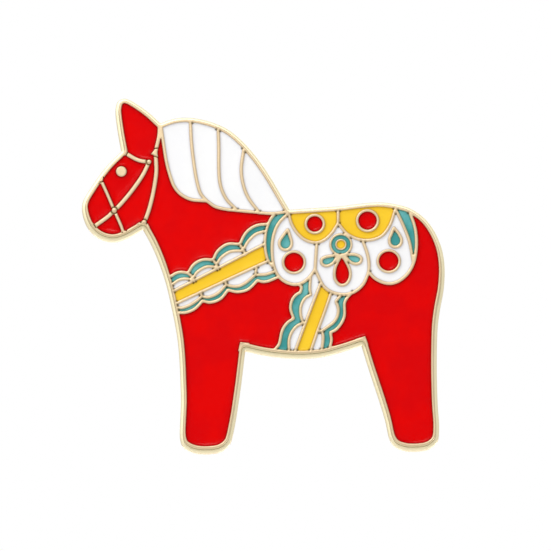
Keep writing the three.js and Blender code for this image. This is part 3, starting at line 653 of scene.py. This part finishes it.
def build_plate():
    """The struck plate: its rim swept round the outline, the raised metal, the pockets and the back."""
    outline = refine(loops_at("struck_plate", 0.0)[0][::-1])
    profile = rim_profile()
    size = len(outline)
    verts, faces = [], []
    for inset, height in profile:
        row = moved_in(outline, inset)
        verts.append(np.column_stack([row, np.full(size, height)]))
    for k in range(len(profile) - 1):
        for i in range(size):
            j = (i + 1) % size
            faces.append([k * size + i, k * size + j, (k + 1) * size + j, (k + 1) * size + i])
    # Painted shade in the crease at the lip's foot, and painted light on the skirt and the lower wall of the
    # lip.
    painted_shade, painted_light = [], []
    for inset, height in profile:
        in_crease = abs(inset - LIP_WALL) < NEAR and height < LIP_SHADE_TOP
        painted_shade.append(np.full(size, LIP_SHADE if in_crease else 0.0))
        on_skirt = height > SKIRT_EDGE and inset < LIP_WALL + NEAR
        painted_light.append(np.full(size, float(on_skirt)))

    lip = verts[-1][:, :2]
    loops = [lip] + [loop[::-1] for name in enamel_names for loop in pockets[name]]
    region = Region(loops, METAL_ROWS, METAL_SPACING, seeds=bead_points())
    count = len(region.points)
    walls = tree_of(np.vstack(loops[1:]))
    # The raised metal's heights, and the painted shade in its creases and pits.
    height, metal_shade = metal_height(region.points, distances(walls, region.points))
    index = {s: i for i, s in enumerate(region.source)}
    base = size * len(profile)
    shared = {index[i]: base - size + i for i in range(size)}

    def at(i):
        return shared.get(i, base + i)

    faces += [[at(i) for i in t] for t in region.inside]
    verts.append(np.column_stack([region.points, height]))
    painted_shade.append(metal_shade)
    painted_light.append(np.zeros(3 * count))

    low = base + count
    verts.append(np.column_stack([region.points, np.full(count, WALL_WAIST)]))
    floor = low + count
    verts.append(np.column_stack([region.points, np.full(count, POCKET_FLOOR)]))
    # Painted shade on the pockets' walls and floors.
    painted_shade += [np.full(count, WALL_SHADE), np.full(count, FLOOR_SHADE)]
    faces += [[floor + i for i in t] for t in region.holes]
    start = size
    for loop in loops[1:]:
        ring = [index[start + i] for i in range(len(loop))]
        start += len(loop)
        for a, b in zip(ring, ring[1:] + ring[:1]):
            faces.append([at(a), low + a, low + b, at(b)])
            faces.append([low + a, floor + a, floor + b, low + b])

    front_count = len(faces)
    back = Region([verts[0][:, :2]], [], 1.0)
    faces += [[back.source[i] for i in reversed(t)] for t in back.inside]

    piece = mesh_object("plate", np.vstack(verts), faces, MATERIALS["gold"],
                        attributes={"painted_shade": np.concatenate(painted_shade), "painted_light": np.concatenate(painted_light)})
    piece.data.materials.append(MATERIALS["gold_back"])
    slots = np.zeros(len(piece.data.polygons), np.int32)
    slots[front_count:] = 1
    piece.data.polygons.foreach_set("material_index", slots)
    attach(piece, "badge")
    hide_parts("struck_plate")


build_plate()
for name in enamel_names:
    build_enamel(name)

# ---------------------------------------------------------------- the posts and clutches

POSTS = {side: tuple(sum(reach(f"{side}_post", axis)) / 2 for axis in (0, 2)) for side in ("left", "right")}
TILT = {"left": math.radians(-20), "right": math.radians(20)}
CLUTCH_HOME = 1.0
POST_HOLE = 0.78
CUP_SHEET = 0.35
BRIDGE_SHEET = 0.4
WING_SHEET = 0.3
NIB_CIRCLE = 3.5
NIB_DEPTH = 0.26
NIB_SPREAD = 0.36
CUP_SIDES = 192
POST_SIDES = 96
# How points fill a sheet: rows on its rounded edge, one past it, and a grid.
SHEET_ROWS = [0.015, 0.04, 0.08]
SHEET_SPAN = 0.1
SHEET_SPACING = 0.09
SHEET_GRID = 0.22
# The bridge's half width and the rounding of its corners.
BRIDGE_HALF = 1.8
BRIDGE_ROUND = 0.35
# Where a wing starts beside the post's axis, and the notch there that grips the post.
WING_START = 0.16
WING_NOTCH = 0.63


def behind(side, u, v, h):
    """Points of a clutch, from its own axis, as (x, z, height); h runs away from the plate."""
    x, z = POSTS[side]
    turn = TILT[side]
    return np.column_stack([x + u * math.cos(turn) + v * math.sin(turn),
                            z + u * math.sin(turn) - v * math.cos(turn), -CLUTCH_HOME - h])


def lathe(profile, sides):
    """A closed profile of (radius, height), or one that ends on the axis, turned: (u, v, h) and faces."""
    profile = np.array(profile)
    on_axis = profile[0][0] == 0
    ring = np.arange(sides) * 2 * math.pi / sides
    rows = profile[1:-1] if on_axis else profile
    u = (rows[:, :1] * np.cos(ring)).ravel()
    v = (rows[:, :1] * np.sin(ring)).ravel()
    h = np.repeat(rows[:, 1], sides)
    faces = []
    last = len(rows) if not on_axis else len(rows) - 1
    for k in range(last):
        low, high = k * sides, ((k + 1) % len(rows)) * sides
        for i in range(sides):
            j = (i + 1) % sides
            faces.append([low + i, low + j, high + j, high + i])
    if on_axis:
        ends = len(u)
        u, v = np.append(u, [0, 0]), np.append(v, [0, 0])
        h = np.append(h, [profile[0][1], profile[-1][1]])
        top = (len(rows) - 1) * sides
        for i in range(sides):
            j = (i + 1) % sides
            faces.append([ends, j, i])
            faces.append([ends + 1, top + i, top + j])
    return u, v, h, faces


def eased(points, step):
    """A smooth open curve through some points, in even steps."""
    return even_steps(curve_through(np.array(points, float), False), step)


def bent_sheet(loops, path, thickness):
    """A sheet with rounded edges, cut flat as (along, across) and bent to a path of (u, h).

    Returns its points as u, across and h, and its faces.
    """
    edge = thickness / 2
    region = Region(loops, [*SHEET_ROWS, edge, edge + SHEET_SPAN], SHEET_SPACING, grid=SHEET_GRID)
    length = np.concatenate([[0], np.cumsum(np.linalg.norm(np.diff(path, axis=0), axis=1))])
    slope = np.gradient(path, length, axis=0)
    slope /= np.linalg.norm(slope, axis=1)[:, None]
    along, across = region.points.T
    u, h, du, dh = (np.interp(along, length, row) for row in (*path.T, *slope.T))
    inside = np.clip(1 - region.depth / edge, 0, 1)
    half = edge * np.sqrt(1 - inside**2)
    count = len(u)
    border = set(np.flatnonzero(region.depth < ON_BORDER))
    faces = list(region.inside)
    faces += [[i if i in border else count + i for i in reversed(t)] for t in region.inside]
    used = sorted({i for f in faces for i in f})
    renumber = {old: new for new, old in enumerate(used)}
    made_u = np.concatenate([u - dh * half, u + dh * half])[used]
    made_v = np.concatenate([across, across])[used]
    made_h = np.concatenate([h + du * half, h - du * half])[used]
    return made_u, made_v, made_h, [[renumber[i] for i in f] for f in faces]


def arc_points(radius, start, end, count):
    """Points on an arc round the origin, both ends among them."""
    angle = np.linspace(start, end, count)
    return np.column_stack([radius * np.cos(angle), radius * np.sin(angle)])


def cup_shell():
    """The dished cup with its rolled rim, and four nibs pressed through its floor towards the plate."""
    outer = eased([(4.3, 0), (4.75, 0.03), (5.12, 0.17), (5.4, 0.46), (5.5, 0.8), (5.38, 1.08), (5.06, 1.24),
                   (4.76, 1.13), (4.58, 0.85), (4.47, 0.55), (4.3, 0.4), (4.05, CUP_SHEET)], 0.09)
    floor = np.arange(4.15, 0.95, -0.11)
    under = [(r, 0) for r in floor[::-1]]
    over = [(r, CUP_SHEET) for r in floor if r < 3.98]
    lip = [(0.86, CUP_SHEET), (0.8, 0.31), (POST_HOLE, 0.24), (POST_HOLE, 0.11), (0.8, 0.04), (0.86, 0)]
    u, v, h, faces = lathe(under + [tuple(p) for p in outer] + over + lip, CUP_SIDES)
    for corner in range(4):
        angle = math.radians(45 + 90 * corner)
        nu, nv = NIB_CIRCLE * math.cos(angle), NIB_CIRCLE * math.sin(angle)
        near = np.exp(-(((u - nu) ** 2 + (v - nv) ** 2) / NIB_SPREAD**2) ** 1.5)
        h = h - np.where(h < CUP_SHEET + 0.01, NIB_DEPTH * near, 0)
    return u, v, h, faces


def bridge_shell():
    """The hat over the wings' channel: a strip bent down at both ends, with a hole for the post."""
    bend = [(2.0, 0.12), (2.0, 0.8), (2.0, 1.5), (1.93, 1.95), (1.65, 2.19), (1.2, 2.25)]
    path = eased([*((-u, h) for u, h in bend), (0, 2.25), *reversed(bend)], 0.08)
    length = np.linalg.norm(np.diff(path, axis=0), axis=1).sum()
    near, far, side = BRIDGE_ROUND, length - BRIDGE_ROUND, BRIDGE_HALF - BRIDGE_ROUND
    corners = [(far, side, 0), (near, side, 90), (near, -side, 180), (far, -side, 270)]
    plan = np.vstack([arc_points(BRIDGE_ROUND, math.radians(a), math.radians(a + 90), 7) + (x, y)
                      for x, y, a in corners])
    plan = even_steps(np.vstack([plan, plan[:1]]), 0.09)[:-1]
    hole = arc_points(POST_HOLE, 0, -2 * math.pi, 61)[:-1] + (length / 2, 0)
    v, u, h, faces = bent_sheet([plan, hole], path, BRIDGE_SHEET)
    return u, v, h, [list(reversed(f)) for f in faces]


def wing_shell():
    """A wing: a strip that grips the post with the notch at its inner end and curls away at its outer end."""
    path = eased([(WING_START, 1.06), (1, 1.14), (1.9, 1.5), (2.8, 1.68), (3.6, 1.98), (4.4, 2.6), (5, 3.4),
                  (5.3, 4.1), (5.45, 4.75)], 0.06)
    length = np.concatenate([[0], np.cumsum(np.linalg.norm(np.diff(path, axis=0), axis=1))])
    side = curve_through(np.array([(0.5, 1.48), (2.1, 1.5), (2.7, 1.85), (3.6, 2.2), (4.5, 2.28), (5.1, 1.95),
                                   (5.36, 1.3), (5.43, 0.6), (5.45, 0)], float), False)
    grip = math.acos(WING_START / WING_NOTCH)
    notch = arc_points(WING_NOTCH, grip, -grip, 15)
    half = np.vstack([[(WING_START, 1.1), (0.2, 1.38)], side])
    outline = np.vstack([half * (1, -1), half[-2::-1], notch])
    outline = np.column_stack([np.interp(outline[:, 0], path[:, 0], length), outline[:, 1]])
    outline = even_steps(np.vstack([outline, outline[:1]]), 0.07)[:-1]
    return bent_sheet([outline], path, WING_SHEET)


def fastener(name, points, faces, body, node):
    """A brass piece that rides a body and stands for a CAD node."""
    piece = mesh_object(name, points, faces, MATERIALS["brass"])
    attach(piece, body)
    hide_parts(node)


def build_post(side):
    """A turned post with a ring groove and a point, on a fillet of solder."""
    solder = [(0, -0.98), (1.28, -0.98), (1.35, -0.92), (1.34, -0.82), (1.2, -0.7), (0.95, -0.6),
              (0.75, -0.5), (0.62, -0.36)]
    shank = [(0.575, -0.1), (0.575, 1), (0.575, 2.4), (0.575, 3.96)]
    groove = [(0.56, 4.01), (0.5, 4.08), (0.465, 4.16), (0.46, 4.3), (0.46, 4.5), (0.465, 4.64), (0.5, 4.72),
              (0.56, 4.79)]
    point = [(0.575, 4.84), (0.575, 5.48), (0.55, 5.62), (0.42, 6.05), (0.24, 6.6), (0.12, 6.92),
             (0.06, 6.98), (0, 7.0)]
    u, v, h, faces = lathe(solder + shank + groove + point, POST_SIDES)
    fastener(f"{side}_post_turned", behind(side, u, v, h), faces, "badge", f"{side}_post")


def build_clutch(side):
    """A clutch's cup with its bridge, and its two wings, of which the outer faces the pin's nearer end."""
    points, faces, start = [], [], 0
    for u, v, h, some in (cup_shell(), bridge_shell()):
        points.append(behind(side, u, v, h))
        faces += [[start + i for i in f] for f in some]
        start += len(u)
    fastener(f"{side}_clutch_shell", np.vstack(points), faces, f"{side}_clutch", f"{side}_clutch_cup")
    u, v, h, some = wing_shell()
    outward = 1 if side == "right" else -1
    for which, facing in (("outer", outward), ("inner", -outward)):
        body = f"{side}_{which}_wing"
        fastener(f"{body}_strip", behind(side, u * facing, v * facing, h), some, body,
                 f"{side}_clutch_{which}_wing")


for side in POSTS:
    build_post(side)
    build_clutch(side)


# ---------------------------------------------------------------- floor, light and camera

def build_floor():
    """A plain pale floor below the pin."""
    bpy.ops.mesh.primitive_plane_add(size=3, location=(0, 0, FLOOR_HEIGHT))
    floor = bpy.context.object
    floor.name = "floor"
    pale, tree, shader = material("pale_floor", 0.6)
    shader.inputs["Base Color"].default_value = (0.9, 0.9, 0.9, 1)
    floor.data.materials.append(pale)


def build_world():
    """Even light from all round, which the camera sees as white."""
    world = bpy.data.worlds.new("studio")
    bpy.context.scene.world = world
    world.use_nodes = True
    tree = world.node_tree
    seen = tree.nodes["Background"]
    seen.inputs["Color"].default_value = (1, 1, 1, 1)
    ambient = tree.nodes.new("ShaderNodeBackground")
    ambient.inputs["Strength"].default_value = AMBIENT
    rays = tree.nodes.new("ShaderNodeLightPath")
    either = tree.nodes.new("ShaderNodeMixShader")
    tree.links.new(rays.outputs["Is Camera Ray"], either.inputs[0])
    tree.links.new(ambient.outputs[0], either.inputs[1])
    tree.links.new(seen.outputs[0], either.inputs[2])
    tree.links.new(either.outputs[0], tree.nodes["World Output"].inputs["Surface"])


def softbox(name, place, size, radiance):
    """A soft lamp that faces the pin. Its place and size are in metres."""
    lamp = bpy.data.lights.new(name, "AREA")
    lamp.shape = "RECTANGLE"
    lamp.size, lamp.size_y = size
    lamp.energy = radiance * math.pi * size[0] * size[1]
    lit = bpy.data.objects.new(name, lamp)
    lit.location = place
    lit.rotation_euler = (Vector((0, 0, 0)) - Vector(place)).to_track_quat("-Z", "Y").to_euler()
    bpy.context.scene.collection.objects.link(lit)


def build_lamps():
    """A broad key light and a narrow one before the face, and two behind it, one of them low."""
    softbox("key", (-0.09, -0.17, 0.15), (0.24, 0.18), KEY)
    softbox("front", (-0.01, -0.215, 0.11), (0.045, 0.014), FRONT)
    softbox("under", (0.03, 0.25, -0.045), (0.3, 0.045), UNDER)
    softbox("back", (0.12, 0.2, 0.16), (0.2, 0.2), BACK)


def build_camera():
    """A camera with no perspective, looking up a little at the face."""
    camera = bpy.data.cameras.new("camera")
    camera.type = "ORTHO"
    camera.ortho_scale = VIEW_WIDTH * MM
    camera.clip_start, camera.clip_end = 0.001, 5
    seen = bpy.data.objects.new("camera", camera)
    target = Vector((VIEW_MIDDLE[0], -TOP, VIEW_MIDDLE[1])) * MM
    away = Vector((0, -math.cos(VIEW_TILT), math.sin(VIEW_TILT)))
    seen.location = target + away * VIEW_DISTANCE
    seen.rotation_euler = (-away).to_track_quat("-Z", "Y").to_euler()
    bpy.context.scene.collection.objects.link(seen)
    bpy.context.scene.camera = seen


build_floor()
build_world()
build_lamps()
build_camera()
bpy.context.scene.view_settings.view_transform = "Standard"
